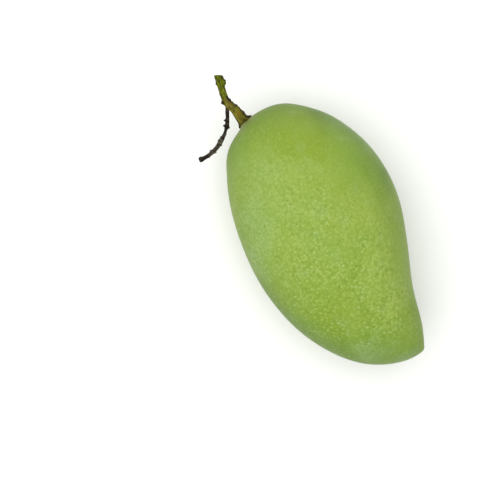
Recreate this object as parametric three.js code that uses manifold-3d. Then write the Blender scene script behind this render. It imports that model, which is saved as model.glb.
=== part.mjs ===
import * as THREE from 'three';
import { LoftGeometry } from 'three/addons/geometries/LoftGeometry.js';
import { mergeVertices } from 'three/addons/utils/BufferGeometryUtils.js';
import Module from 'manifold-3d';

const wasm = await Module();
wasm.setup();

// A green mango lying on one cheek, with the stub of its stalk and the withered twig
// that branches off it. Millimetres, +Z up.
//
// Everything is shaped in the fruit's own frame: its stalk end is the zero point, X runs
// to the tip of its beak, +Y is the side that hollows in before the beak, and Z = 0 is
// its middle plane. One group then sets it all down on the resting spot.

// Fruit: pairs of distance from the stalk end and half-width there, from the X axis.
const FRUIT_LENGTH = 128;
const HOLLOW_SIDE = [[1.5, 11.6], [9, 23], [24, 32.6], [47, 36.9], [68, 32.9], [86, 23.8], [103, 13.8],
  [118, 7.2], [126, 2.4]];
const ROUND_SIDE = [[1.5, 4.4], [5, 12.1], [15, 21.3], [40, 33.4], [64, 38.9], [86, 38.1], [104, 32.1],
  [118, 22.3], [125.5, 11.2]];
const CHEEKS = [[1.5, 8.5], [9, 19.5], [24, 28], [42, 31.6], [60, 32.8], [76, 31.1], [92, 26.9], [108, 20.2],
  [118, 14.6], [125.5, 8]];
const DIMPLE_DEPTH = 0.8;
const DIMPLE_RADIUS = 5;
const FRUIT_RINGS = 64;
const FRUIT_SIDES = 44;

// Resting spot: a small flat that the fruit's weight presses on its lower cheek. Its
// place in the fruit's frame, under the centre of weight, and the middle plane's height.
const REST_CENTRE = [59, -2];
const REST_HEIGHT = 32;

// Stalk: its path starts inside the fruit, and pairs give distance along it and radius.
// A bump is distance along the path, direction round it in degrees, height and reach.
// Directions start at the round side, and 90 is up.
const STALK_PATH = [[3, -0.3, 0], [0, -0.25, 0], [-3.4, -0.2, 0.3], [-5.7, -0.2, 0.5], [-7.6, -0.45, 0.7],
  [-9.6, -1, 0.8], [-11.8, -0.95, 0.8], [-14.4, -0.3, 0.6], [-17.6, 0.95, 0.3], [-20.3, 2.2, 0],
  [-22.7, 3.15, -0.3]];
const STALK_RADII = [[0, 3.2], [2.4, 3], [3.8, 2.6], [6.4, 2.37], [8.7, 2.12], [10.6, 1.9], [12.7, 1.85],
  [14.9, 1.7], [17.6, 1.58], [21, 1.6], [24, 1.88], [26.6, 1.9]];
const STALK_BUMPS = [
  [3.2, 180, 1.5, 0.75],
  [2.1, 5, 0.5, 0.8],
  [2.7, 95, 0.5, 0.9],
  [2.8, 265, 0.6, 0.9],
  [6.5, 175, 0.15, 0.8],
  [8.2, 65, 0.25, 1],
  [10.3, 185, 0.15, 0.7],
  [14.6, 180, 0.25, 0.8],
  [15, 5, 0.65, 0.7],
  [17.3, 120, 0.2, 1.2],
  [22.9, 175, 0.7, 0.9],
  [23.1, 5, 0.4, 0.9],
  [21.6, 280, 0.5, 0.9],
];
const STALK_CUT_ANGLE = 17;
const STALK_STEP = 0.6;
const STALK_SIDES = 16;

// Twig: the same way, from inside the fork of the stalk out to its broken end.
const TWIG_PATH = [[-10.4, -1.2, 0.7], [-8.7, -2.8, 0.5], [-7, -4.1, 0.2], [-5.6, -5.1, 0], [-3, -7.5, -0.6],
  [-1.4, -9.7, -1.1], [0, -12.1, -1.6], [0.5, -13.5, -1.9], [1.5, -16.2, -2.4], [2, -18.8, -2.9],
  [2.1, -21.3, -3.2], [1.8, -24, -3.5], [1.4, -26, -3.6]];
const TWIG_RADII = [[0, 1], [2.3, 0.85], [4.5, 0.83], [7.6, 0.83], [9.7, 0.95], [11.3, 0.7], [12.8, 0.62],
  [14.5, 0.7], [16.5, 0.85], [18.2, 0.85], [20, 0.75], [24.5, 0.72], [27, 0.8], [30, 0.95]];
const TWIG_BUMPS = [
  [7.3, 180, 0.65, 0.45],
  [9.9, 180, 0.5, 0.5],
  [10, 90, 0.4, 0.6],
  [10.3, 0, 0.45, 0.5],
  [15.4, 180, 0.4, 0.5],
  [17.2, 180, 0.2, 0.7],
  [18.4, 0, 0.45, 0.6],
  [20, 90, 0.3, 0.7],
  [22.3, 0, 0.45, 0.5],
  [23.4, 180, 0.5, 0.5],
  [29.4, 0, 0.35, 0.5],
  [29.8, 180, 0.4, 0.5],
];
const TWIG_STEP = 0.6;
const TWIG_SIDES = 10;

// Length over which a shoot's sections lean to its slanting cut.
const CUT_REACH = 3;

// Clear gap left where one grown piece meets another.
const GAP = 0.3;

// A smooth curve through pairs of place and value, which runs level past both ends.
function curveThrough(pairs) {
  const first = pairs[0];
  const last = pairs[pairs.length - 1];
  const all = [[first[0] - 1, first[1]], ...pairs, [last[0] + 1, last[1]]];
  const curve = new THREE.CubicInterpolant(all.map(([place]) => place), all.map(([, value]) => value), 1);
  return (place) => curve.evaluate(place)[0];
}

// A half-width along the fruit, as a factor of the circle's sine: the sine falls to
// nothing at both ends, so they come out round, and the factor only varies gently.
function roundedWidth(stations) {
  const factors = stations.map(([distance, halfWidth]) => {
    const turn = Math.acos(1 - 2 * distance / FRUIT_LENGTH);
    return [turn, halfWidth / Math.sin(turn)];
  });
  return curveThrough(factors);
}

// A geometry's triangles alone, without normals and texture places, and each point kept once.
function bare(geometry) {
  const plain = new THREE.BufferGeometry().copy(geometry);
  plain.deleteAttribute('normal');
  plain.deleteAttribute('uv');
  return mergeVertices(plain);
}

// The fruit's skin: a unit sphere whose points move out to the half-widths. Across the
// fruit each section is an oval whose centre leans to the side that is wider there.
function fruitSkin() {
  const hollowSide = roundedWidth(HOLLOW_SIDE);
  const roundSide = roundedWidth(ROUND_SIDE);
  const cheek = roundedWidth(CHEEKS);
  const skin = bare(new THREE.SphereGeometry(1, FRUIT_SIDES, FRUIT_RINGS));
  const point = new THREE.Vector3();
  const places = skin.getAttribute('position');
  for (let i = 0; i < places.count; i++) {
    point.fromBufferAttribute(places, i);
    const [along, across, up] = [-point.y, point.x, point.z];
    const turn = Math.acos(THREE.MathUtils.clamp(-along, -1, 1));
    const lean = (hollowSide(turn) - roundSide(turn)) / 2;
    const spread = (hollowSide(turn) + roundSide(turn)) / 2;
    const y = lean * Math.hypot(across, up) + spread * across;
    const z = cheek(turn) * up;
    const dimple = DIMPLE_DEPTH * Math.exp(-(y * y + z * z) / DIMPLE_RADIUS ** 2);
    const x = FRUIT_LENGTH * (1 + along) / 2 + (along < 0 ? dimple : 0);
    places.setXYZ(i, x, y, z);
  }
  return skin;
}

// Radius of a shoot at a place on it: its own radius there plus every bump, each
// of which falls away all round like a bell.
function shootRadius(distance, direction, radius, bumps) {
  let total = radius;
  for (const [place, bearing, height, reach] of bumps) {
    const turn = direction - THREE.MathUtils.degToRad(bearing);
    const round = radius * Math.acos(Math.cos(turn));
    const along = distance - place;
    total += height * Math.exp(-(round * round + along * along) / (reach * reach));
  }
  return total;
}

// A shoot: round sections carried along a smooth path, with bumps, closed at both ends.
// Within CUT_REACH of the far end they lean over to the angle that it is cut at.
function shoot({ path, radii, bumps, step, sides, cutAngle = 0 }) {
  const points = path.map((point) => new THREE.Vector3(...point));
  const curve = new THREE.CatmullRomCurve3(points, false, 'centripetal');
  const radiusAt = curveThrough(radii);
  const cutLean = Math.tan(THREE.MathUtils.degToRad(cutAngle));
  const length = curve.getLength();
  const steps = Math.round(length / step);
  const up = new THREE.Vector3(0, 0, 1);
  const sections = [];
  for (let i = 0; i <= steps; i++) {
    const distance = length * i / steps;
    const centre = curve.getPointAt(i / steps);
    const forward = curve.getTangentAt(i / steps);
    const sideways = new THREE.Vector3().crossVectors(up, forward).normalize();
    const upward = new THREE.Vector3().crossVectors(forward, sideways);
    const lean = cutLean * Math.max(0, 1 - (length - distance) / CUT_REACH);
    const section = [];
    for (let j = 0; j < sides; j++) {
      const direction = 2 * Math.PI * j / sides;
      const radius = shootRadius(distance, direction, radiusAt(distance), bumps);
      const across = radius * Math.cos(direction);
      section.push(centre.clone()
        .addScaledVector(sideways, across)
        .addScaledVector(upward, radius * Math.sin(direction))
        .addScaledVector(forward, across * lean));
    }
    sections.push(section);
  }
  return bare(new LoftGeometry(sections, { closed: true, capStart: true, capEnd: true }));
}

function toSolid(geometry) {
  return new wasm.Manifold(new wasm.Mesh({
    numProp: 3,
    vertProperties: new Float32Array(geometry.getAttribute('position').array),
    triVerts: new Uint32Array(geometry.getIndex().array),
  }));
}

function toGeometry(solid) {
  const { vertProperties, triVerts } = solid.getMesh();
  const geometry = new THREE.BufferGeometry();
  geometry.setAttribute('position', new THREE.BufferAttribute(vertProperties, 3));
  geometry.setIndex(new THREE.BufferAttribute(triVerts, 1));
  return geometry;
}

// The same skin moved out along its normals, which leaves a gap round what it cuts.
function grown(geometry, distance) {
  const larger = geometry.clone();
  larger.computeVertexNormals();
  const places = larger.getAttribute('position');
  const normals = larger.getAttribute('normal');
  for (let i = 0; i < places.count; i++) {
    places.setXYZ(i,
      places.getX(i) + distance * normals.getX(i),
      places.getY(i) + distance * normals.getY(i),
      places.getZ(i) + distance * normals.getZ(i));
  }
  return larger;
}

// A block whose top face is the plane that the fruit rests on.
function groundBlock() {
  const size = 2 * FRUIT_LENGTH;
  const block = new THREE.BoxGeometry(size, size, size);
  return bare(block.translate(0, 0, -REST_HEIGHT - size / 2));
}

function part(name, geometry, color, roughness) {
  geometry.computeVertexNormals();
  const material = new THREE.MeshStandardMaterial({ color, roughness, metalness: 0 });
  const mesh = new THREE.Mesh(geometry, material);
  mesh.name = name;
  return mesh;
}

const fruit = fruitSkin();
const stalk = shoot({
  path: STALK_PATH,
  radii: STALK_RADII,
  bumps: STALK_BUMPS,
  step: STALK_STEP,
  sides: STALK_SIDES,
  cutAngle: STALK_CUT_ANGLE,
});
const twig = shoot({
  path: TWIG_PATH,
  radii: TWIG_RADII,
  bumps: TWIG_BUMPS,
  step: TWIG_STEP,
  sides: TWIG_SIDES,
});

const fruitSolid = toSolid(fruit).subtract(toSolid(groundBlock()));
const stalkSolid = toSolid(stalk).subtract(toSolid(grown(fruit, GAP)));
const twigSolid = toSolid(twig).subtract(toSolid(grown(stalk, GAP)));

const mango = new THREE.Group();
mango.position.set(-REST_CENTRE[0], -REST_CENTRE[1], REST_HEIGHT);
mango.add(
  part('fruit', toGeometry(fruitSolid), 0x8fb356, 0.5),
  part('stalk', toGeometry(stalkSolid), 0x6f7420, 0.7),
  part('dry_twig', toGeometry(twigSolid), 0x3a2c22, 0.85),
);

export default mango;
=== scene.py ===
"""A green mango lying on one cheek, with its olive stalk and the withered twig beside it.

Every piece is a surface of two parameters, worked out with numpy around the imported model. The pieces'
lengths are written in millimetres and turned into Blender's metres by MM. The fruit's own frame has its
zero point at the stalk end, X along the fruit to its beak, +Y to the side that hollows in before the
beak, and Z = 0 in its middle plane; set_down moves a point from there to where the fruit lies.
"""
import bpy
import numpy as np
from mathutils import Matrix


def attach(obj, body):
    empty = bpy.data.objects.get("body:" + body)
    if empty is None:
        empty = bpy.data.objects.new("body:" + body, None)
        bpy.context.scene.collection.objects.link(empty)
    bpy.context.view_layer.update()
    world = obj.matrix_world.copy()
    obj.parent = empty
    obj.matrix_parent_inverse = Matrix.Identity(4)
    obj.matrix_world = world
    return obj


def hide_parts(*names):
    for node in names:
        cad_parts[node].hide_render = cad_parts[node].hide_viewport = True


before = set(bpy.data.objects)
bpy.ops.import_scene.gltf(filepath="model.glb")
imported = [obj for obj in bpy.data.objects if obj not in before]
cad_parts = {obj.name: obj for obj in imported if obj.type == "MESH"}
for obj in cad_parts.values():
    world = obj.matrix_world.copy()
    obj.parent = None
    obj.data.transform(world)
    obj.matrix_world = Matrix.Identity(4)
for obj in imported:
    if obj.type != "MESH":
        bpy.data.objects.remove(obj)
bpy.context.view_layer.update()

# The view. The fruit lies on its cheek, and the camera looks straight down on it through a long lens.
# It is turned until the fruit stands in the picture with its stalk at the top and its beak at the
# lower right, and is so high up that the picture spans VIEW_WIDTH in the fruit's middle plane.
MM = 0.001
CAMERA_TURN = np.radians(52.25)
CAMERA_OVER = (-18.8 * MM, -31.6 * MM)
MIDDLE_HEIGHT = 32 * MM
LENS = 100
SENSOR = 36
VIEW_WIDTH = 211.2 * MM

camera_data = bpy.data.cameras.new("view_from_above")
camera_data.lens = LENS
camera_data.sensor_width = SENSOR
camera = bpy.data.objects.new("view_from_above", camera_data)
camera.location = (*CAMERA_OVER, MIDDLE_HEIGHT + VIEW_WIDTH * LENS / SENSOR)
camera.rotation_euler = (0, 0, CAMERA_TURN)
bpy.context.scene.collection.objects.link(camera)
bpy.context.scene.camera = camera

# The fruit. One grown piece: firm flesh in a smooth waxy skin, deeper than it is thick because it
# swelled round a flat stone. Its weight presses a small flat on the cheek that it lies on.
FRUIT_LENGTH = 128 * MM

# Pairs of the distance from the stalk end and the half-width there.
HOLLOW_SIDE = MM * np.array([
    (1.5, 11.6), (9, 23), (24, 32.6), (47, 36.9), (68, 32.9), (86, 23.8), (103, 13.8), (118, 7.2),
    (126, 2.4)])
ROUND_SIDE = MM * np.array([
    (1.5, 4.4), (5, 12.1), (15, 21.3), (40, 33.4), (64, 38.9), (86, 38.1), (104, 32.1), (118, 22.3),
    (125.5, 11.2)])
CHEEKS = MM * np.array([
    (1.5, 8.5), (9, 19.5), (24, 28), (42, 31.6), (60, 32.8), (76, 31.1), (92, 26.9), (108, 20.2),
    (118, 14.6), (125.5, 8)])
DIMPLE_DEPTH = 0.8 * MM
DIMPLE_RADIUS = 5 * MM

# Slow waves round the fruit: how many, their drift along it, where they start and their share of SWELL.
SWELL = 0.004
SWELL_WAVES = [(2, 2.1, 0.6, 1), (3, -3.3, 2, 0.8), (5, 4.7, 0, 0.6)]

# Faint folds round the stalk, highest at FOLD_TURN.
FOLD_HEIGHT = 0.18 * MM
FOLD_TURN = 0.17
FOLD_COUNT = 5
FOLD_START = 0.4

REST_CENTRE = (59 * MM, -2 * MM)
SKIN_RINGS = 320
SKIN_SIDES = 240


def through(stations, places):
    """Values at places of the smooth curve through pairs of place and value.

    Each gap between two pairs is a cubic. Its slope at either end is the mean of the slopes of the two
    gaps that meet there, and past both ends the curve runs level.
    """
    station, value = np.asarray(stations, float).T
    slope = np.diff(value) / np.diff(station)
    end_slope = np.concatenate([[slope[0] / 2], (slope[1:] + slope[:-1]) / 2, [slope[-1] / 2]])
    place = np.clip(places, station[0], station[-1])
    gap = np.clip(np.searchsorted(station, place, side="right") - 1, 0, len(slope) - 1)
    width = station[gap + 1] - station[gap]
    part = (place - station[gap]) / width
    rest = 1 - part
    return (rest**2 * (1 + 2 * part) * value[gap] + part**2 * (1 + 2 * rest) * value[gap + 1]
            + part * rest * width * (rest * end_slope[gap] - part * end_slope[gap + 1]))


def roundness(stations, turn):
    """Half-width of the fruit divided by the sine of the turn, which is nothing at both ends.

    Turn is the angle whose cosine is 1 - 2 x / length, so both ends come out round and the factor
    between them changes gently.
    """
    distance, half_width = stations.T
    angle = np.arccos(1 - 2 * distance / FRUIT_LENGTH)
    return through(np.stack([angle, half_width / np.sin(angle)], axis=1), turn)


def bell(distance, reach):
    """1 at no distance, and e to the power of minus the square of distance / reach away from there."""
    return np.exp(-(distance / reach)**2)


def fruit_skin(turn, around):
    """Points of the skin at a turn, from 0 at the stalk to pi at the beak, and a direction around it.

    x = length (1 - cos turn) / 2. Each section is an oval: its centre leans to the wider side by half the
    difference of the two side widths, y = sin turn (lean + spread cos around), z = sin turn cheek
    sin around. Slow waves make the oval swell by a few thousandths, and faint folds and a shallow
    dimple surround the stalk. What would reach below the resting flat is pressed up to it.
    """
    hollow = roundness(HOLLOW_SIDE, turn)
    full = roundness(ROUND_SIDE, turn)
    lean = (hollow - full) / 2
    spread = (hollow + full) / 2
    wave = sum(share * np.sin(count * around + drift * turn + start)
               for count, drift, start, share in SWELL_WAVES)
    swell = 1 + SWELL * wave * np.sin(turn)
    y = np.sin(turn) * (lean + spread * swell * np.cos(around))
    z = np.sin(turn) * roundness(CHEEKS, turn) * swell * np.sin(around)
    near_stalk = (turn / FOLD_TURN)**2
    fold = FOLD_HEIGHT * near_stalk * np.exp(1 - near_stalk) * np.cos(FOLD_COUNT * around + FOLD_START)
    dimple = DIMPLE_DEPTH * bell(np.hypot(y, z), DIMPLE_RADIUS)
    x = FRUIT_LENGTH * (1 - np.cos(turn)) / 2 + np.where(turn < np.pi / 2, dimple - fold, 0)
    return np.stack([x, y, np.maximum(z, -MIDDLE_HEIGHT)], axis=-1)


def set_down(points):
    """The same points where the fruit lies: over its resting spot, with the middle plane at its height."""
    return points + np.array([-REST_CENTRE[0], -REST_CENTRE[1], MIDDLE_HEIGHT])


def closed_piece(name, rings, first, last):
    """An object made of rings of points in the fruit's frame, and all its points in that frame.

    Four-sided faces join each ring to the next, and a fan of triangles joins the first and the last ring
    to the point that closes that end.
    """
    count, sides, _ = rings.shape
    corner = 1 + np.arange(count * sides).reshape(count, sides)
    beside = np.roll(corner, -1, axis=1)
    strips = np.stack([corner[:-1], beside[:-1], beside[1:], corner[1:]], axis=-1).reshape(-1, 4)
    start_fan = np.stack([np.zeros(sides, int), beside[0], corner[0]], axis=-1)
    end_fan = np.stack([np.full(sides, count * sides + 1), corner[-1], beside[-1]], axis=-1)
    points = np.concatenate([[first], rings.reshape(-1, 3), [last]])
    mesh = bpy.data.meshes.new(name)
    mesh.from_pydata(set_down(points).tolist(), [], start_fan.tolist() + strips.tolist() + end_fan.tolist())
    mesh.polygons.foreach_set("use_smooth", np.ones(len(mesh.polygons), bool))
    piece = bpy.data.objects.new(name, mesh)
    bpy.context.scene.collection.objects.link(piece)
    return piece, points


def mark(piece, name, values):
    """Gives every point of a piece a number that its material reads."""
    layer = piece.data.attributes.new(name, "FLOAT", "POINT")
    layer.data.foreach_set("value", np.asarray(values, np.float32).ravel())


turns, arounds = np.meshgrid(
    np.pi * np.arange(1, SKIN_RINGS) / SKIN_RINGS,
    2 * np.pi * np.arange(SKIN_SIDES) / SKIN_SIDES,
    indexing="ij",
)
stalk_pole = fruit_skin(np.array(0.0), np.array(0.0))
beak_pole = fruit_skin(np.array(np.pi), np.array(0.0))
fruit, skin_points = closed_piece("mango_fruit", fruit_skin(turns, arounds), stalk_pole, beak_pole)

# The skin has many greens. Bluish wax, leaf green, sunned skin and paler patches lie on it in soft patches.
# The bluish patches on the upper cheek are partly painted sheen, and the paler ones there are painted light
# where the cheek is lit brightest. The narrow band between the cheeks and the shoulder round the stalk are
# darkest: painted shade where the fruit turns from the light, partly the skin's deeper green. A patch is x,
# y and z in the fruit's frame, a radius and a strength.
SKIN_SPOTS = {
    # The bluish patches on the upper cheek are partly painted sheen, partly the skin's waxy coat.
    "bloom_and_sheen": [(20, -10, 25, 11, 0.5), (37, -22, 22, 12, 0.8), (53, -33, 14, 11, 0.9), (118, -12, 6, 11, 1),
              (33, 33, 5, 14, 0.8), (60, 20, -25, 14, 0.6), (90, -20, -20, 12, 0.6), (104, 8, -8, 9, 0.6),
              (110, -20, 12, 8, 0.7)],
    "leaf": [(35, 25, 18, 9, 1), (40, -28, 17, 9, 0.4), (94, -28, 12, 11, 1.2), (111, -14, 10, 8, 1),
             (83, -34, 8, 10, 1), (54, 31, 15, 12, 0.9), (30, -10, -26, 12, 0.7), (80, 5, -29, 12, 0.8)],
    "sun": [(25, 10, 26, 11, 1), (78, 21, 16, 10, 0.7), (113, 5, 5, 6, 1.3), (104, 12, 3, 8, 1),
            (76, -11, 29, 8, 0.6), (90, -20, 21, 11, 0.9), (50, 10, -31, 14, 0.7)],
    # The paler patches on the upper cheek are painted light; those underneath only lighten the colour.
    "pale": [(86, 5, 28, 12, 0.8), (102, 3, 21, 8, 0.8), (63, 13, 29, 10, 0.6), (47, -27, 20, 10, 0.5),
             (20, -20, -20, 12, 0.6), (70, -25, -18, 13, 0.6)],
}
# Painted shade: darker spots on the band between the cheeks, where the rims turn from the light.
PAINTED_SHADE_SPOTS = [(76, -39, 2, 22, 0.75), (101, -32, 2, 20, 0.75), (42, 31, 15, 10, 0.5),
                (53, 28, 21, 9, 1.1), (64, 27, 21, 9, 1.3), (28, 30, 8, 14, 0.8), (117, -12, 6, 11, 1),
                (24, 24, 18, 9, 0.8), (100, -24, 20, 8, 0.9), (113, -15, 13, 9, 1)]
BEAK_SCARS = [(126.8, -5, 2.5, 1.9, 1.1), (127.4, -3, 1, 1.8, 0.6)]
# Reach and strength of the painted shade on the band round the middle plane and on the shoulder at the
# stalk.
MARGIN_REACH = 17 * MM
MARGIN_PAINTED_SHADE = 0.45
SHOULDER_REACH = 13 * MM
SHOULDER_PAINTED_SHADE = 0.5
STALK_RING = 11 * MM

# Waves that swing a patch's edge: how far, their length and where each of the three starts.
EDGE_WAVES = [(3 * MM, 3.4 * MM, (0, 2, 4)), (1 * MM, 1.3 * MM, (1, 5, 3))]

# Steps in how plainly the pores show: start and end in millimetres, and the share before and after.
PORES_ALONG = (0, 80, 0.45, 1.1)
PORES_ACROSS = (-2, 24, 1, 0.4)
PORES_AT_BEAK = (104, 124, 1, 0.5)


def patches(points, spots):
    """Sum of soft round patches, each of them its strength times a bell round its place."""
    total = np.zeros(len(points))
    for x, y, z, radius, strength in spots:
        apart = np.linalg.norm(points - MM * np.array([x, y, z]), axis=1)
        total += strength * bell(apart, radius * MM)
    return total


def wander(points):
    """The points swung aside, so that the edge of a patch wanders.

    Each coordinate gains, for a slow wave and a quick one, reach times the sine of the next coordinate
    divided by the wave's length.
    """
    following = points[:, [1, 2, 0]]
    return points + sum(reach * np.sin(following / length + np.array(start))
                        for reach, length, start in EDGE_WAVES)


def stepped(place, start, end, before, after):
    """Before up to the start and after past the end, with part squared times (3 - 2 part) between them."""
    part = np.clip((place / MM - start) / (end - start), 0, 1)
    return before + (after - before) * part**2 * (3 - 2 * part)


def pore_crowding(points):
    """How plainly the pores show: less than half as much at the stalk end as past the middle, and less on
    the hollow side and at the beak. It is the product of a step across y and two along x.
    """
    x, y, _ = points.T
    return stepped(x, *PORES_ALONG) * stepped(y, *PORES_ACROSS) * stepped(x, *PORES_AT_BEAK)


swung_points = wander(skin_points)
for name, spots in SKIN_SPOTS.items():
    mark(fruit, name, patches(swung_points, spots))
mark(fruit, "crowding", pore_crowding(skin_points))
# Painted shade along the band round the middle plane and on the shoulder at the stalk end.
painted_margin_shade = bell(skin_points[:, 2], MARGIN_REACH) * (MARGIN_PAINTED_SHADE + patches(swung_points, PAINTED_SHADE_SPOTS))
mark(fruit, "painted_margin_shade", painted_margin_shade + SHOULDER_PAINTED_SHADE * bell(skin_points[:, 0], SHOULDER_REACH))
mark(fruit, "stalk_end", bell(np.linalg.norm(skin_points - stalk_pole, axis=1), STALK_RING))
mark(fruit, "beak_scar", patches(skin_points, BEAK_SCARS))


def paint(red, green, blue):
    """The shader's colour for an sRGB colour given in steps of 0 to 255.

    A level is ((level + 0.055) / 1.055) to the power of 2.4, or level / 12.92 where that is darkest.
    """
    level = np.array([red, green, blue]) / 255
    linear = np.where(level > 0.04045, ((level + 0.055) / 1.055)**2.4, level / 12.92)
    return (*linear, 1)


def new_material(name, roughness, specular):
    """A material, its tree and its shader, with the shader's own roughness and specular level set."""
    material = bpy.data.materials.new(name)
    material.use_nodes = True
    shader = material.node_tree.nodes["Principled BSDF"]
    shader.inputs["Roughness"].default_value = roughness
    shader.inputs["Specular IOR Level"].default_value = specular
    return material, material.node_tree, shader


def add(tree, kind, inputs, **settings):
    """A node of that kind. Settings are its own choices, and each input is a value or another output."""
    node = tree.nodes.new(kind)
    for name, value in settings.items():
        setattr(node, name, value)
    for name, value in inputs.items():
        if isinstance(value, bpy.types.NodeSocket):
            tree.links.new(value, node.inputs[name])
        else:
            node.inputs[name].default_value = value
    return node


def object_place(tree):
    """The place on the object, in metres."""
    return add(tree, "ShaderNodeTexCoord", {}).outputs["Object"]


def attribute(tree, name, output="Fac"):
    """A number that the piece's points carry, or three of them with the output Vector."""
    return add(tree, "ShaderNodeAttribute", {}, attribute_name=name).outputs[output]


def noise(tree, where, scale, detail=2, roughness=0.5):
    """Soft noise from 0 to 1, with about that many waves to each unit of its place."""
    inputs = {"Vector": where, "Scale": scale, "Detail": detail, "Roughness": roughness}
    return add(tree, "ShaderNodeTexNoise", inputs).outputs["Fac"]


def ramp(tree, value, low, high, to_low=0.0, to_high=1.0):
    """A value from low to high turned smoothly into one from to_low to to_high."""
    inputs = {"Value": value, "From Min": low, "From Max": high, "To Min": to_low, "To Max": to_high}
    return add(tree, "ShaderNodeMapRange", inputs, interpolation_type="SMOOTHSTEP").outputs["Result"]


def times(tree, first, second):
    """The product of two values."""
    return add(tree, "ShaderNodeMath", {0: first, 1: second}, operation="MULTIPLY").outputs["Value"]


def plus(tree, first, second):
    """The sum of two values."""
    return add(tree, "ShaderNodeMath", {0: first, 1: second}, operation="ADD").outputs["Value"]


def stirred(tree, where, scale, reach):
    """Places moved by noise: each coordinate gains reach times its own noise from 0 to 1."""
    stir = add(tree, "ShaderNodeTexNoise", {"Vector": where, "Scale": scale, "Detail": 1}).outputs["Color"]
    move = add(tree, "ShaderNodeVectorMath", {0: stir, 1: (reach,) * 3}, operation="MULTIPLY")
    moved = add(tree, "ShaderNodeVectorMath", {0: where, 1: move.outputs["Vector"]}, operation="ADD")
    return moved.outputs["Vector"]


def layer(tree, factor, under, over):
    """One colour laid over another by a factor from 0 to 1."""
    return add(tree, "ShaderNodeMix", {0: factor, 6: under, 7: over}, data_type="RGBA").outputs[2]


def dress(tree, shader, colour, height, strength, depth):
    """Gives a shader its colour, and its relief as a bump of that height, strength and depth."""
    bump = add(tree, "ShaderNodeBump", {"Height": height, "Strength": strength, "Distance": depth})
    tree.links.new(colour, shader.inputs["Base Color"])
    tree.links.new(bump.outputs["Normal"], shader.inputs["Normal"])


SKIN_GREEN = paint(140, 163, 67)
LEAF_GREEN = paint(122, 158, 60)
# The darkest green: painted shade on the band between the cheeks and the shoulder, partly deeper skin.
PAINTED_SHADE_GREEN = paint(98, 127, 38)
SUN_GREEN = paint(130, 153, 43)
# A lighter green, laid on the upper cheek as painted light.
PALE_PAINTED_LIGHT_GREEN = paint(156, 178, 82)
# Bluish green of the waxy coat, laid partly as a painted sheen.
BLOOM_AND_SHEEN_GREEN = paint(144, 171, 108)
PORE_CREAM = paint(174, 192, 120)
PORE_SHADE = paint(108, 138, 43)
STALK_OLIVE = paint(130, 133, 84)
SCAR_OLIVE = paint(104, 98, 58)
PATCH_GREENS = [("leaf", LEAF_GREEN, 0.6), ("sun", SUN_GREEN, 0.7), ("pale", PALE_PAINTED_LIGHT_GREEN, 0.8)]
BROAD_WAVES = 38
BLOTCH_WAVES = 130

skin, tree, shader = new_material("mango_skin", roughness=0.48, specular=0.16)
place = object_place(tree)
broad = noise(tree, place, BROAD_WAVES)
blotch = noise(tree, place, BLOTCH_WAVES, detail=3)
colour = layer(tree, ramp(tree, broad, 0.42, 0.62, 0, 0.3), SKIN_GREEN, LEAF_GREEN)
colour = layer(tree, ramp(tree, blotch, 0.5, 0.72, 0, 0.45), colour, SUN_GREEN)
# Of these, the paler patches on the upper cheek are painted light.
for name, green, most in PATCH_GREENS:
    colour = layer(tree, ramp(tree, attribute(tree, name), 0, 1, 0, most), colour, green)
# Painted shade: the band between the cheeks and the shoulder darkened, partly the skin's deeper green.
colour = layer(tree, attribute(tree, "painted_margin_shade"), colour, PAINTED_SHADE_GREEN)
# Bluish waxy patches, partly painted sheen on the upper cheek.
thick_bloom_and_sheen = ramp(tree, attribute(tree, "bloom_and_sheen"), 0, 1, 0, 0.5)
thin_bloom = ramp(tree, blotch, 0.25, 0.45, 0.25, 0)
colour = layer(tree, plus(tree, thick_bloom_and_sheen, thin_bloom), colour, BLOOM_AND_SHEEN_GREEN)

# The skin's pores are small pale corky dots of uneven size and shape, with fine dark pits between them.
# They stand in loose clusters, crowd past the middle and thin out towards the stalk.
PORE_CELL = 1.3 * MM
PIT_CELL = 1.9 * MM
PORE_STIR = 1.1 * MM
STIR_WAVES = 900
CLUSTER_WAVES = 110
GRAIN_WAVES = 900
GAP_STRENGTH = 0.36
PORE_STRENGTH = 0.37
PIT_STRENGTH = 0.75

uneven_place = stirred(tree, place, STIR_WAVES, PORE_STIR)
pores = add(tree, "ShaderNodeTexVoronoi", {"Vector": uneven_place, "Scale": 1 / PORE_CELL})
pits = add(tree, "ShaderNodeTexVoronoi", {"Vector": uneven_place, "Scale": 1 / PIT_CELL})
own_size = add(tree, "ShaderNodeSeparateColor", {"Color": pores.outputs["Color"]}).outputs["Red"]
clusters = ramp(tree, noise(tree, place, CLUSTER_WAVES), 0.35, 0.65, 0.75, 1.3)
crowding = times(tree, attribute(tree, "crowding"), clusters)
spread = ramp(tree, own_size, 0, 1, 0.25, 0.7)
pore = times(tree, ramp(tree, pores.outputs["Distance"], 0.02, spread, 1, 0), crowding)
gap = times(tree, ramp(tree, pores.outputs["Distance"], 0.35, 0.8), crowding)
pit = times(tree, ramp(tree, pits.outputs["Distance"], 0.05, 0.38, 1, 0), crowding)
colour = layer(tree, times(tree, gap, GAP_STRENGTH), colour, PORE_SHADE)
colour = layer(tree, times(tree, pore, PORE_STRENGTH), colour, PORE_CREAM)
colour = layer(tree, times(tree, pit, PIT_STRENGTH), colour, PORE_SHADE)
colour = layer(tree, ramp(tree, attribute(tree, "stalk_end"), 0.1, 1, 0, 0.85), colour, STALK_OLIVE)
colour = layer(tree, ramp(tree, attribute(tree, "beak_scar"), 0.1, 0.9, 0, 0.8), colour, SCAR_OLIVE)
grain = noise(tree, place, GRAIN_WAVES)
relief = plus(tree, times(tree, pore, 0.35), times(tree, grain, 0.5))
dress(tree, shader, colour, relief, strength=0.22, depth=0.12 * MM)
fruit.data.materials.append(skin)
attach(fruit, "root")
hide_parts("fruit")

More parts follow.
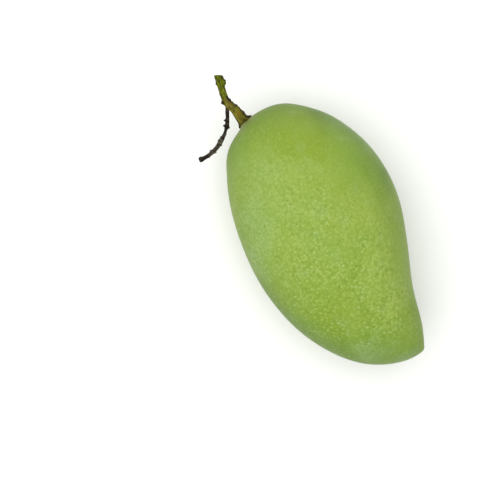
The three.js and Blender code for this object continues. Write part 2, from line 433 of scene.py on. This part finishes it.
# The stalk. A stub of living wood that stands in the fruit's end, with the dried scales of the flower
# round its foot, knobbly where side twigs grew, and cut off slanting at its far end.
STALK_PATH = MM * np.array([
    (3, -0.3, 0), (0, -0.25, 0), (-3.4, -0.2, 0.3), (-5.7, -0.2, 0.5), (-7.6, -0.45, 0.7), (-9.6, -1, 0.8),
    (-11.8, -0.95, 0.8), (-14.4, -0.3, 0.6), (-17.6, 0.95, 0.3), (-20.3, 2.2, 0), (-22.7, 3.15, -0.3)])

# Pairs of the distance along the path and the radius there.
STALK_RADII = MM * np.array([
    (0, 3.2), (2.4, 3), (3.8, 2.6), (6.4, 2.37), (8.7, 2.12), (10.6, 1.9), (12.7, 1.85), (14.9, 1.7),
    (17.6, 1.58), (21, 1.6), (24, 1.88), (26.6, 1.9)])

# A bump is its distance along the path, its direction in degrees, its height and its reach.
STALK_BUMPS = [
    (3.2, 180, 1.5, 0.75), (2.1, 5, 0.5, 0.8), (2.7, 95, 0.5, 0.9), (2.8, 265, 0.6, 0.9),
    (6.5, 175, 0.3, 0.7), (8.2, 65, 0.3, 0.8), (9, 190, 0.25, 0.5), (10.3, 185, 0.3, 0.6),
    (12.4, 170, 0.3, 0.7), (14.6, 180, 0.4, 0.7), (15, 8, 0.9, 0.75), (17.3, 120, 0.3, 0.9),
    (18.6, 10, 0.2, 0.6), (22.7, 175, 0.6, 0.6), (23.9, 172, 0.75, 0.6), (23.1, 5, 0.5, 0.7),
    (21.6, 280, 0.5, 0.9)]

# Rings of the cut face from its rim inwards: size as a share of the rim, and depth below it.
CUT_FACE = [(0.97, -0.06), (0.9, -0.03), (0.82, 0.1), (0.6, 0.14), (0.4, 0.12), (0.25, 0.3), (0.08, 0.36)]
CUT_REACH = 3 * MM
STALK_CUT_ANGLE = 17
STALK_WRINKLE = 0.1 * MM
RIDGE_COUNTS = (4, 7, 9, 13)
STALK_STEP = 0.12 * MM
STALK_SIDES = 64
GRAIN_STRETCH = 5 * MM


def along_path(path, step):
    """Centres, directions and distances at even steps along the smooth curve through a path's points.

    Each coordinate is the curve through its values against the distance walked from point to point.
    """
    walked = np.concatenate([[0], np.cumsum(np.linalg.norm(np.diff(path, axis=0), axis=1))])
    distance = np.linspace(0, walked[-1], 1 + round(walked[-1] / step))
    centre = np.stack([through(np.stack([walked, value], axis=1), distance) for value in path.T], axis=1)
    forward = np.gradient(centre, axis=0)
    return centre, forward / np.linalg.norm(forward, axis=1)[:, None], distance


def bumpy_radius(distance, direction, radius, bumps):
    """A radius plus each bump's height times a bell, of the distance to it over the surface."""
    total = radius.copy()
    for place, bearing, height, reach in bumps:
        round_it = radius * np.arccos(np.cos(direction - np.radians(bearing)))
        total += height * MM * bell(np.hypot(round_it, distance - place * MM), reach * MM)
    return total


def wrinkles(distance, direction, seed):
    """Fine lengthwise ridges from -1 to 1: the mean of waves round the shoot that drift along it.

    Each is the sine of its count times the direction, plus a start and a drift with the distance.
    """
    phases = np.random.default_rng(seed).uniform(0.5, 2, (len(RIDGE_COUNTS), 2))
    return sum(np.sin(count * direction + 2 * np.pi * start + distance / MM * drift) / len(RIDGE_COUNTS)
               for count, (start, drift) in zip(RIDGE_COUNTS, phases))


def shoot_rings(path, radii, bumps, step, sides, wrinkle, seed, cut_angle=0):
    """Rings of a shoot, with the distance along it and the direction round it of each point.

    The rings are circles carried along a path, with bumps and wrinkles. Direction 0 is level, to the left
    of the way that the path goes, and 90 degrees is up. Within CUT_REACH of the far end the circles lean
    forwards, by across times the tangent of the cut's angle at the end.
    """
    centre, forward, distance = along_path(path, step)
    sideways = np.cross([0, 0, 1], forward)
    sideways /= np.linalg.norm(sideways, axis=1)[:, None]
    upward = np.cross(forward, sideways)
    direction = 2 * np.pi * np.arange(sides) / sides
    walked, bearing = np.meshgrid(distance, direction, indexing="ij")
    radius = bumpy_radius(walked, bearing, through(radii, walked), bumps)
    radius += wrinkle * wrinkles(walked, bearing, seed)
    across = radius * np.cos(bearing)
    above = radius * np.sin(bearing)
    lean = np.tan(np.radians(cut_angle)) * np.maximum(0, 1 - (distance[-1] - walked) / CUT_REACH)
    rings = (centre[:, None] + across[..., None] * sideways[:, None] + above[..., None] * upward[:, None]
             + (across * lean)[..., None] * forward[:, None])
    return rings, walked, bearing


def end_face(rings, profile):
    """Rings inside a shoot's last one, so that it ends in a face: each is the last ring drawn in to its
    share of the size about the middle, and moved back by its depth.
    """
    rim = rings[-1]
    middle = rim.mean(axis=0)
    back = rings[-2].mean(axis=0) - middle
    back /= np.linalg.norm(back)
    return np.stack([middle + size * (rim - middle) + depth * MM * back for size, depth in profile])


def shoot_piece(name, rings, walked, bearing, face):
    """The closed object of a shoot's rings and its end face, and its points in the fruit's frame.

    Each point is marked with its share of the shoot's length, and with a seam-free place for the grain:
    the cosine and sine of the direction round the shoot and a slow distance along it.
    """
    rings = np.concatenate([rings, end_face(rings, face)])
    piece, points = closed_piece(name, rings, rings[0].mean(axis=0), rings[-1].mean(axis=0))
    face_rings = ((0, len(face)), (0, 0))
    walked = np.pad(walked, face_rings, mode="edge")
    bearing = np.pad(bearing, face_rings, mode="edge")
    length = walked[-1, 0]
    mark(piece, "share", np.concatenate([[0], (walked / length).ravel(), [1]]))
    grain = np.stack([np.cos(bearing), np.sin(bearing), walked / GRAIN_STRETCH], axis=-1).reshape(-1, 3)
    grain = np.concatenate([[(0, 0, 0)], grain, [(0, 0, length / GRAIN_STRETCH)]])
    piece.data.attributes.new("grain", "FLOAT_VECTOR", "POINT").data.foreach_set("vector", grain.ravel())
    return piece, points


rings, walked, bearing = shoot_rings(STALK_PATH, STALK_RADII, STALK_BUMPS, STALK_STEP, STALK_SIDES,
                                     STALK_WRINKLE, seed=3, cut_angle=STALK_CUT_ANGLE)
stalk, stalk_points = shoot_piece("fruit_stalk", rings, walked, bearing, CUT_FACE)

# Brown scars where scales and side twigs came off, and rusty cork, as patches like the skin's. The dark
# patch on the +Y flank by the foot is painted shade.
SCARS_AND_SHADE = [
    (-12.1, -3.2, 1.2, 1.3, 1.5), (-0.4, 4, 0.4, 1.6, 1.4), (0.9, -3.4, 0.4, 1.3, 1),
    (-11.6, 0.5, 2.1, 1.1, 1.2), (-12.6, 1, 1.4, 1.2, 1), (-10, 1.2, 1.6, 1.1, 0.9),
    (-7.6, 1.7, 1.4, 1.1, 1), (-4.8, 2.2, 1.6, 1.2, 1), (-2, 2.6, 1.6, 1.7, 1.1),
    (-20, 4.4, 0.4, 1.1, 1.2), (-20.8, 0.1, 0.3, 1, 1.1), (-15.6, 1.9, 1.2, 1, 0.8),
    (-0.2, 0, 3.2, 1.2, 0.5), (-0.2, -2.4, 2, 1, 0.5), (-17.8, -0.6, 0.4, 0.8, 0.7)]
RUST = [(-4.1, 0.2, 2.9, 1, 0.8), (-2.6, -0.8, 2.9, 0.8, 0.6), (-9.6, -0.4, 2.6, 1.4, 0.35)]
# Painted shade among these: the dark patch on the +Y flank by the foot.
mark(stalk, "scar_and_shade", patches(stalk_points, SCARS_AND_SHADE))
mark(stalk, "rust", patches(stalk_points, RUST))


def colours_along(tree, share, stops):
    """Colours that follow one another along a piece, each at its share of the length."""
    node = add(tree, "ShaderNodeValToRGB", {"Fac": share})
    elements = node.color_ramp.elements
    elements[0].position, elements[0].color = stops[0]
    elements[1].position, elements[1].color = stops[-1]
    for position, colour in stops[1:-1]:
        elements.new(position).color = colour
    return node.outputs["Color"]


STALK_COLOURS = [
    (0.0, paint(60, 55, 15)),
    (0.12, paint(78, 74, 15)),
    (0.32, paint(102, 98, 24)),
    (0.48, paint(103, 93, 38)),
    (0.64, paint(89, 96, 12)),
    (0.9, paint(89, 99, 6)),
    (0.985, paint(72, 84, 6)),
    (1.0, paint(136, 140, 82)),
]
BARK_DARK = paint(46, 40, 10)
BARK_LIGHT = paint(134, 134, 44)
# Dark brown of scars, and of the painted shade on the +Y flank by the foot.
SCAR_AND_SHADE_BROWN = paint(36, 26, 14)
RUST_ORANGE = paint(128, 94, 18)
STALK_STREAKS = 2
SPECK_WAVES = 1300

wood, tree, shader = new_material("green_stalk", roughness=0.6, specular=0.08)
share = attribute(tree, "share")
streak = noise(tree, attribute(tree, "grain", "Vector"), STALK_STREAKS, detail=4, roughness=0.65)
speck = noise(tree, object_place(tree), SPECK_WAVES)
colour = colours_along(tree, share, STALK_COLOURS)
colour = layer(tree, ramp(tree, streak, 0.5, 0.64, 0, 0.85), colour, BARK_DARK)
colour = layer(tree, ramp(tree, streak, 0.36, 0.48, 0.6, 0), colour, BARK_LIGHT)
rust = plus(tree, attribute(tree, "rust"), ramp(tree, speck, 0.6, 0.75, 0, 0.5))
colour = layer(tree, ramp(tree, rust, 0.1, 1, 0, 0.85), colour, RUST_ORANGE)
# Dark brown scars, with painted shade on the +Y flank by the foot.
scar_and_shade = times(tree, attribute(tree, "scar_and_shade"), ramp(tree, speck, 0.3, 0.6, 0.8, 1.3))
colour = layer(tree, ramp(tree, scar_and_shade, 0.15, 0.9, 0, 0.92), colour, SCAR_AND_SHADE_BROWN)
bark = plus(tree, streak, times(tree, speck, 0.6))
dress(tree, shader, colour, bark, strength=0.6, depth=0.3 * MM)
stalk.data.materials.append(wood)
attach(stalk, "root")
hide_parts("stalk")

# The dry twig. A side branch of the stalk whose own fruits fell early: it withered to a thin dark
# wrinkled string with small knobs, and broke off at its end.
TWIG_PATH = MM * np.array([
    (-10.4, -1.2, 0.7), (-8.7, -2.8, 0.5), (-7, -4.1, 0.2), (-5.6, -5.1, 0), (-3, -7.5, -0.6),
    (-1.4, -9.7, -1.1), (0, -12.1, -1.6), (0.5, -13.5, -1.9), (1.5, -16.2, -2.4), (2, -18.8, -2.9),
    (2.1, -21.3, -3.2), (1.8, -24, -3.5), (1.4, -26, -3.6)])
TWIG_RADII = MM * np.array([
    (0, 1), (2.3, 0.85), (4.5, 0.83), (7.6, 0.83), (9.7, 0.95), (11.3, 0.7), (12.8, 0.62), (14.5, 0.78),
    (16.5, 0.98), (18.2, 0.98), (20, 0.9), (22.5, 0.92), (24.5, 0.88), (27.4, 0.84), (28.5, 1.05),
    (29.3, 1.15), (30.1, 0.9)])
TWIG_BUMPS = [
    (7.3, 180, 0.85, 0.45), (9.9, 180, 0.75, 0.5), (10, 90, 0.4, 0.6), (10.3, 0, 0.6, 0.5),
    (13.4, 20, 0.25, 0.5), (15.4, 180, 0.5, 0.5), (17.2, 180, 0.3, 0.6), (18.4, 0, 0.5, 0.5),
    (20, 90, 0.3, 0.7), (22.3, 0, 0.55, 0.45), (23.4, 180, 0.6, 0.45), (25.6, 10, 0.3, 0.5),
    (28.9, 190, 0.2, 0.4)]
BROKEN_END = [(0.95, -0.12), (0.82, -0.28), (0.6, -0.36), (0.4, -0.22), (0.25, -0.12), (0.1, -0.1)]
TWIG_WRINKLE = 0.14 * MM
TWIG_STEP = 0.1 * MM
TWIG_SIDES = 40

rings, walked, bearing = shoot_rings(TWIG_PATH, TWIG_RADII, TWIG_BUMPS, TWIG_STEP, TWIG_SIDES,
                                     TWIG_WRINKLE, seed=8)
twig, _ = shoot_piece("withered_twig", rings, walked, bearing, BROKEN_END)

TWIG_COLOURS = [
    (0.0, paint(33, 22, 13)),
    (0.35, paint(32, 21, 15)),
    (0.55, paint(44, 37, 28)),
    (0.78, paint(46, 40, 31)),
    (0.88, paint(32, 23, 17)),
    (1.0, paint(42, 34, 27)),
]
STREAK_DARK = paint(20, 14, 10)
CHALK_GREY = paint(114, 110, 90)
TWIG_STREAKS = 2.4
CRUST_WAVES = 1100

dry, tree, shader = new_material("dry_twig", roughness=0.75, specular=0.1)
share = attribute(tree, "share")
streak = noise(tree, attribute(tree, "grain", "Vector"), TWIG_STREAKS, detail=4, roughness=0.65)
crust = noise(tree, object_place(tree), CRUST_WAVES, detail=3)
colour = colours_along(tree, share, TWIG_COLOURS)
colour = layer(tree, ramp(tree, streak, 0.45, 0.7, 0, 0.7), colour, STREAK_DARK)
chalky = times(tree, ramp(tree, share, 0.4, 0.65, 0.25, 0.9), ramp(tree, share, 0.68, 0.84, 1, 0.25))
colour = layer(tree, times(tree, ramp(tree, crust, 0.5, 0.6), chalky), colour, CHALK_GREY)
bark = plus(tree, streak, times(tree, crust, 0.7))
dress(tree, shader, colour, bark, strength=0.7, depth=0.3 * MM)
twig.data.materials.append(dry)
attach(twig, "root")
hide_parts("dry_twig")

# The floor and the light. A wide pale floor, a large soft lamp overhead, a little to the picture's
# left, and an even white sky at half strength. The lamp's lengths and the floor's are in metres.
FLOOR_HALF = 9
FLOOR_DROP = 0.02 * MM
FLOOR_WHITE = paint(247, 247, 246)
LAMP_LEFT = 0.5
LAMP_HEIGHT = 2.7
LAMP_SIZE = 4
LAMP_POWER = 102
SKY_STRENGTH = 0.5

floor_mesh = bpy.data.meshes.new("pale_floor")
floor_corners = [(-FLOOR_HALF, -FLOOR_HALF, -FLOOR_DROP), (FLOOR_HALF, -FLOOR_HALF, -FLOOR_DROP),
                 (FLOOR_HALF, FLOOR_HALF, -FLOOR_DROP), (-FLOOR_HALF, FLOOR_HALF, -FLOOR_DROP)]
floor_mesh.from_pydata(floor_corners, [], [(0, 1, 2, 3)])
floor = bpy.data.objects.new("pale_floor", floor_mesh)
bpy.context.scene.collection.objects.link(floor)
pale, tree, shader = new_material("pale_floor", roughness=0.9, specular=0.1)
shader.inputs["Base Color"].default_value = FLOOR_WHITE
floor.data.materials.append(pale)

lamp_data = bpy.data.lights.new("main_lamp", "AREA")
lamp_data.shape = "SQUARE"
lamp_data.size = LAMP_SIZE
lamp_data.energy = LAMP_POWER
lamp = bpy.data.objects.new("main_lamp", lamp_data)
lamp.location = (-LAMP_LEFT * np.cos(CAMERA_TURN), -LAMP_LEFT * np.sin(CAMERA_TURN), LAMP_HEIGHT)
lamp.rotation_euler = (-lamp.location).to_track_quat("-Z", "Y").to_euler()
bpy.context.scene.collection.objects.link(lamp)

world = bpy.data.worlds.new("pale_sky")
world.use_nodes = True
sky = world.node_tree.nodes["Background"]
sky.inputs["Color"].default_value = (1, 1, 1, 1)
sky.inputs["Strength"].default_value = SKY_STRENGTH
bpy.context.scene.world = world
bpy.context.scene.view_settings.view_transform = "Standard"
